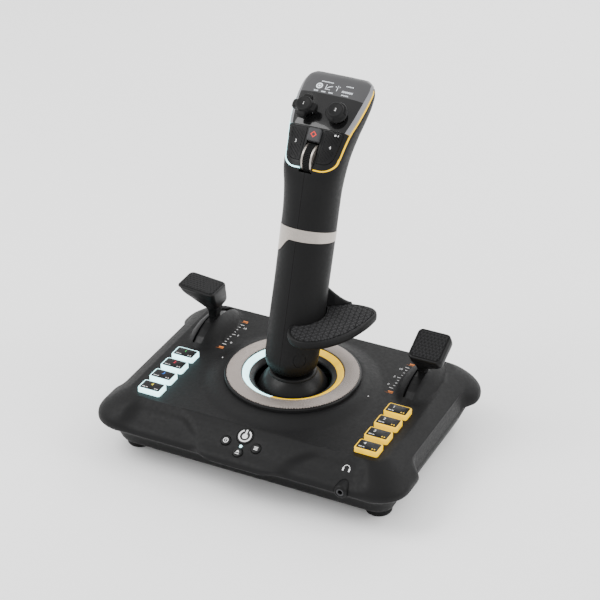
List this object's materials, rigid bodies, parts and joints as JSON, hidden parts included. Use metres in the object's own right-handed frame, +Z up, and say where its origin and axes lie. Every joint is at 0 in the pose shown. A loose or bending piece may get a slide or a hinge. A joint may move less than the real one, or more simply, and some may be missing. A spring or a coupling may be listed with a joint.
{
  "type": "flight joystick",
  "caption": "Desk flight joystick: a leaning grip with a control head and side palm rest on a tilting, twisting gimbal, set in a wide base with throttle levers and lit keys.",
  "frame": {"origin": "on the flat underside of the base, straight below the pivot of the stick", "axes": "+X to the user's right, +Y away from the user, +Z up"},
  "size_m": [0.2664, 0.1949, 0.2784],
  "materials": {
    "matte_black_plastic": "fine-grain matt moulded black plastic",
    "soft_black_rubber": "soft matt rubber with a small diamond texture",
    "gloss_black_panel": "polished dark panel over a small screen",
    "silver_trim": "warm satin silver",
    "cyan_light_guide": "translucent light guide lit white-cyan",
    "amber_light_guide": "translucent light guide lit amber",
    "steel": "satin steel",
    "circuit_board": "green solder resist",
    "dark_grey_plastic": "satin dark grey plastic"
  },
  "bodies": {
    "base": {"base_top_cover": "matte_black_plastic", "base_bottom_cover": "matte_black_plastic", "left_front_foot": "soft_black_rubber", "left_rear_foot": "soft_black_rubber", "right_front_foot": "soft_black_rubber", "right_rear_foot": "soft_black_rubber", "ring_bezel": "silver_trim", "light_ring_left": "cyan_light_guide", "light_ring_right": "amber_light_guide", "well_funnel": "matte_black_plastic", "headset_jack": "dark_grey_plastic", "usb_socket": "steel", "main_board": "circuit_board", "status_led": "cyan_light_guide", "gimbal_housing": "steel", "throttle_axle_left": "steel", "throttle_axle_right": "steel"},
    "pitch_frame": {"gimbal_pitch_frame": "steel"},
    "roll_cradle": {"gimbal_roll_cradle": "steel", "dust_dome": "matte_black_plastic", "dome_collar": "matte_black_plastic"},
    "grip": {"neck_tube": "matte_black_plastic", "grip_shell_left": "matte_black_plastic", "grip_shell_right": "matte_black_plastic", "grip_band": "silver_trim", "face_plate": "matte_black_plastic", "display_cover": "gloss_black_panel", "light_strip_left": "cyan_light_guide", "light_strip_right": "amber_light_guide", "trim_wheel_axle": "steel", "palm_rest": "matte_black_plastic", "palm_rest_pad": "soft_black_rubber"},
    "trim_wheel": {"trim_wheel_tyre": "soft_black_rubber", "trim_wheel_hub": "silver_trim"},
    "centre_button": {"centre_button": "dark_grey_plastic"},
    "trigger": {"trigger_blade": "silver_trim"},
    "thumb_button_left": {"thumb_button_left": "matte_black_plastic"},
    "hat_pivot_left": {"hat_pivot_left": "steel"},
    "hat_left": {"hat_left": "matte_black_plastic"},
    "throttle_left": {"throttle_arm_left": "matte_black_plastic", "throttle_head_left": "matte_black_plastic", "throttle_pad_left": "soft_black_rubber"},
    "left_key_1": {"left_key_1": "cyan_light_guide"},
    "left_key_2": {"left_key_2": "cyan_light_guide"},
    "left_key_3": {"left_key_3": "cyan_light_guide"},
    "left_key_4": {"left_key_4": "cyan_light_guide"},
    "thumb_button_right": {"thumb_button_right": "matte_black_plastic"},
    "hat_pivot_right": {"hat_pivot_right": "steel"},
    "hat_right": {"hat_right": "matte_black_plastic"},
    "throttle_right": {"throttle_arm_right": "matte_black_plastic", "throttle_head_right": "matte_black_plastic", "throttle_pad_right": "soft_black_rubber"},
    "right_key_1": {"right_key_1": "amber_light_guide"},
    "right_key_2": {"right_key_2": "amber_light_guide"},
    "right_key_3": {"right_key_3": "amber_light_guide"},
    "right_key_4": {"right_key_4": "amber_light_guide"},
    "home_button": {"home_button": "matte_black_plastic"},
    "left_menu_button": {"left_menu_button": "matte_black_plastic"},
    "right_menu_button": {"right_menu_button": "matte_black_plastic"},
    "lower_menu_button": {"lower_menu_button": "matte_black_plastic"}
  },
  "joints": [
    {"name": "stick_pitch", "type": "hinge", "parent": "base", "child": "pitch_frame", "pos_m": [0, 0, 0.0297], "axis": [-1, 0, 0], "range_deg": [-16, 16], "stiffness_Nm_per_rad": 5},
    {"name": "stick_roll", "type": "hinge", "parent": "pitch_frame", "child": "roll_cradle", "pos_m": [0, 0, 0.0297], "axis": [0, 1, 0], "range_deg": [-16, 16], "stiffness_Nm_per_rad": 5},
    {"name": "stick_twist", "type": "hinge", "parent": "roll_cradle", "child": "grip", "pos_m": [0, 0, 0.057], "axis": [0, 0, 1], "range_deg": [-15, 15], "stiffness_Nm_per_rad": 1.2},
    {"name": "throttle_left", "type": "hinge", "parent": "base", "child": "throttle_left", "pos_m": [-0.0933, 0.0415, 0.0095], "axis": [-1, 0, 0], "range_deg": [-27, 27]},
    {"name": "left_key_1_press", "type": "slide", "parent": "base", "child": "left_key_1", "axis": [0, 0, -1], "range_m": [0, 0.0025], "stiffness_N_per_m": 300},
    {"name": "left_key_2_press", "type": "slide", "parent": "base", "child": "left_key_2", "axis": [0, 0, -1], "range_m": [0, 0.0025], "stiffness_N_per_m": 300},
    {"name": "left_key_3_press", "type": "slide", "parent": "base", "child": "left_key_3", "axis": [0, 0, -1], "range_m": [0, 0.0025], "stiffness_N_per_m": 300},
    {"name": "left_key_4_press", "type": "slide", "parent": "base", "child": "left_key_4", "axis": [0, 0, -1], "range_m": [0, 0.0025], "stiffness_N_per_m": 300},
    {"name": "throttle_right", "type": "hinge", "parent": "base", "child": "throttle_right", "pos_m": [0.0933, 0.0415, 0.0095], "axis": [-1, 0, 0], "range_deg": [-27, 27]},
    {"name": "right_key_1_press", "type": "slide", "parent": "base", "child": "right_key_1", "axis": [0, 0, -1], "range_m": [0, 0.0025], "stiffness_N_per_m": 300},
    {"name": "right_key_2_press", "type": "slide", "parent": "base", "child": "right_key_2", "axis": [0, 0, -1], "range_m": [0, 0.0025], "stiffness_N_per_m": 300},
    {"name": "right_key_3_press", "type": "slide", "parent": "base", "child": "right_key_3", "axis": [0, 0, -1], "range_m": [0, 0.0025], "stiffness_N_per_m": 300},
    {"name": "right_key_4_press", "type": "slide", "parent": "base", "child": "right_key_4", "axis": [0, 0, -1], "range_m": [0, 0.0025], "stiffness_N_per_m": 300},
    {"name": "home_button_press", "type": "slide", "parent": "base", "child": "home_button", "axis": [0, 0.4938, -0.8696], "range_m": [0, 0.0008], "stiffness_N_per_m": 400},
    {"name": "left_menu_button_press", "type": "slide", "parent": "base", "child": "left_menu_button", "axis": [0, 0.4938, -0.8696], "range_m": [0, 0.0008], "stiffness_N_per_m": 400},
    {"name": "right_menu_button_press", "type": "slide", "parent": "base", "child": "right_menu_button", "axis": [0, 0.4938, -0.8696], "range_m": [0, 0.0008], "stiffness_N_per_m": 400},
    {"name": "lower_menu_button_press", "type": "slide", "parent": "base", "child": "lower_menu_button", "axis": [0, 0.4938, -0.8696], "range_m": [0, 0.0008], "stiffness_N_per_m": 400},
    {"name": "thumb_button_left_press", "type": "slide", "parent": "grip", "child": "thumb_button_left", "axis": [0, 0.7897, -0.6135], "range_m": [0, 0.0005], "stiffness_N_per_m": 500},
    {"name": "thumb_button_right_press", "type": "slide", "parent": "grip", "child": "thumb_button_right", "axis": [0, 0.7897, -0.6135], "range_m": [0, 0.0005], "stiffness_N_per_m": 500},
    {"name": "centre_button_press", "type": "slide", "parent": "grip", "child": "centre_button", "axis": [0, 0.7897, -0.6135], "range_m": [0, 0.0012], "stiffness_N_per_m": 400},
    {"name": "trim_wheel_spin", "type": "hinge", "parent": "grip", "child": "trim_wheel", "pos_m": [0, 0.03337, 0.22593], "axis": [1, 0, 0], "continuous": true},
    {"name": "hat_left_up_down", "type": "hinge", "parent": "grip", "child": "hat_pivot_left", "pos_m": [-0.0133, 0.05699, 0.2483], "axis": [1, 0, 0], "range_deg": [-11, 11], "stiffness_Nm_per_rad": 0.05},
    {"name": "hat_left_left_right", "type": "hinge", "parent": "hat_pivot_left", "child": "hat_left", "pos_m": [-0.0133, 0.05699, 0.2483], "axis": [0, 0.8225, 0.5687], "range_deg": [-11, 11], "stiffness_Nm_per_rad": 0.05},
    {"name": "hat_right_up_down", "type": "hinge", "parent": "grip", "child": "hat_pivot_right", "pos_m": [0.0133, 0.05699, 0.2483], "axis": [1, 0, 0], "range_deg": [-11, 11], "stiffness_Nm_per_rad": 0.05},
    {"name": "hat_right_left_right", "type": "hinge", "parent": "hat_pivot_right", "child": "hat_right", "pos_m": [0.0133, 0.05699, 0.2483], "axis": [0, 0.8225, 0.5687], "range_deg": [-11, 11], "stiffness_Nm_per_rad": 0.05},
    {"name": "trigger_pull", "type": "hinge", "parent": "grip", "child": "trigger", "pos_m": [0, 0.06, 0.222], "axis": [-1, 0, 0], "range_deg": [0, 10], "stiffness_Nm_per_rad": 0.3}
  ]
}
